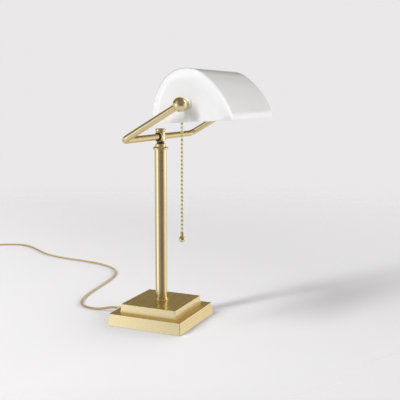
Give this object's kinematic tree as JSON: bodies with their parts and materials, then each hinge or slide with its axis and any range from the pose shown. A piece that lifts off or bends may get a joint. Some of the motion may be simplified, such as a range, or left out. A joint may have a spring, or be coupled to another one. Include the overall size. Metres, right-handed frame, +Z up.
{
  "type": "banker desk lamp",
  "caption": "Banker desk lamp: opal glass trough shade held in a tilting brass U yoke on a column with a stepped square base, pull chain switch and fabric cord with plug.",
  "frame": {"origin": "centre of the base's flat underside, below the column's axis", "axes": "+Z up the column, +X along the shade away from the lampholder, -Y to the front, where the shade hangs, +Y to the back, where the cord leaves the base"},
  "size_m": [0.5014, 0.8567, 0.3998],
  "materials": {
    "satin_brass": "brushed satin",
    "chain_brass": "polished",
    "dark_steel": "satin",
    "cast_iron": "raw",
    "zinc_steel": "zinc plated",
    "dark_felt": "felt",
    "black_nylon": "matte",
    "white_nylon": "matte",
    "gold_plastic": "satin",
    "opal_glass": "opal, glossy",
    "bulb_frost": "frosted",
    "porcelain": "glazed",
    "lead_vinyl": "matte",
    "dark_rubber": "matte",
    "cord_braid": "braided",
    "plug_brass": "plain"
  },
  "bodies": {
    "stand": {"base_plate_lower": "satin_brass", "base_plate_upper": "satin_brass", "base_weight_lower": "cast_iron", "base_weight_upper": "cast_iron", "base_cover_plate": "zinc_steel", "base_felt_pad": "dark_felt", "base_screw_1": "zinc_steel", "base_screw_2": "zinc_steel", "base_screw_3": "zinc_steel", "base_screw_4": "zinc_steel", "tie_rod": "zinc_steel", "tie_rod_nut": "zinc_steel", "tie_rod_washer": "zinc_steel", "column_tube": "satin_brass", "column_foot_collar": "satin_brass", "column_cap": "satin_brass", "neck_ring": "dark_steel", "cross_block": "satin_brass", "bar_bush_near": "black_nylon", "bar_bush_far": "black_nylon", "friction_pad": "black_nylon", "clamp_cap": "satin_brass", "column_lead": "lead_vinyl", "cord_relief": "gold_plastic", "mains_cord": "cord_braid", "cord_coil": "cord_braid", "coil_tie": "dark_rubber", "cord_tail": "cord_braid", "plug_relief": "dark_rubber", "plug_body": "dark_rubber", "plug_blade_left": "plug_brass", "plug_blade_right": "plug_brass"},
    "yoke": {"yoke_tube": "satin_brass", "pivot_ball_near": "satin_brass", "pivot_ball_far": "satin_brass", "pivot_collar_near": "satin_brass", "pivot_collar_far": "satin_brass", "pivot_nipple_near": "satin_brass", "pivot_nipple_far": "satin_brass", "pivot_washer_near": "black_nylon", "pivot_washer_far": "black_nylon", "lock_nut_near": "satin_brass", "cap_nut_far": "satin_brass", "holder_cap": "satin_brass", "holder_shell": "satin_brass", "holder_insulator": "porcelain", "holder_sleeve": "satin_brass", "bulb_glass": "bulb_frost", "bulb_base": "chain_brass", "bulb_tip": "chain_brass", "chain_outlet": "satin_brass", "yoke_lead": "lead_vinyl"},
    "shade": {"glass_shade": "opal_glass", "shade_bush_near": "white_nylon", "shade_bush_far": "white_nylon"},
    "guide": {"chain_guide": "satin_brass"},
    "link": {"switch_link": "chain_brass"},
    "chain": {"pull_chain": "chain_brass", "chain_connector": "chain_brass", "pull_ball": "chain_brass"}
  },
  "joints": [
    {"name": "yoke_tilt", "type": "hinge", "parent": "stand", "child": "yoke", "pos_m": [0, 0, 0.29735], "axis": [-1, 0, 0], "range_deg": [-25, 20]},
    {"name": "shade_tilt", "type": "hinge", "parent": "yoke", "child": "shade", "pos_m": [0, -0.08972, 0.34936], "axis": [-1, 0, 0], "range_deg": [-40, 15]},
    {"name": "chain_swing", "type": "hinge", "parent": "yoke", "child": "guide", "pos_m": [-0.06, -0.06552, 0.34936], "axis": [-1, 0, 0], "range_deg": [-20, 25]},
    {"name": "chain_pull", "type": "slide", "parent": "guide", "child": "chain", "axis": [0, 0, -1], "range_m": [0, 0.008], "stiffness_N_per_m": 250, "springref_m": -0.004},
    {"name": "switch_slide", "type": "slide", "parent": "yoke", "child": "link", "axis": [0, 1, 0], "range_m": [0, 0.008]}
  ],
  "couplings": [
    {"joint": "chain_swing", "follows": "yoke_tilt", "ratio": -1},
    {"joint": "switch_slide", "follows": "chain_pull", "ratio": 1}
  ]
}
